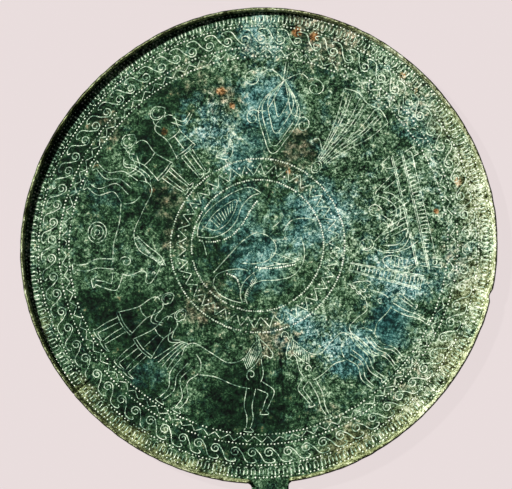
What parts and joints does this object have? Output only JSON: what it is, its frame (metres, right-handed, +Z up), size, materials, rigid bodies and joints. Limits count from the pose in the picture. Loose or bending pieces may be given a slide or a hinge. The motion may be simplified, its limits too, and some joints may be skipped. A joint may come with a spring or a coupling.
{
  "type": "etruscan hand mirror",
  "caption": "Round bronze hand mirror lying polished side down: a disc engraved with borders, a frieze and a medallion, a raised rim, and a flat tapering tang.",
  "frame": {"origin": "on the flat middle of the polished underside, under the centre of the disc", "axes": "+Z up out of the engraved face, +Y from the tang towards the top of the disc, +X to the right when the engraved face is looked at with the tang down"},
  "size_m": [0.1711, 0.2161, 0.005],
  "materials": {
    "patinated_bronze": "bronze with a matt green, teal and brown patina, pale deposit in the engraved lines"
  },
  "bodies": {
    "root": {"mirror": "patinated_bronze"}
  },
  "joints": []
}
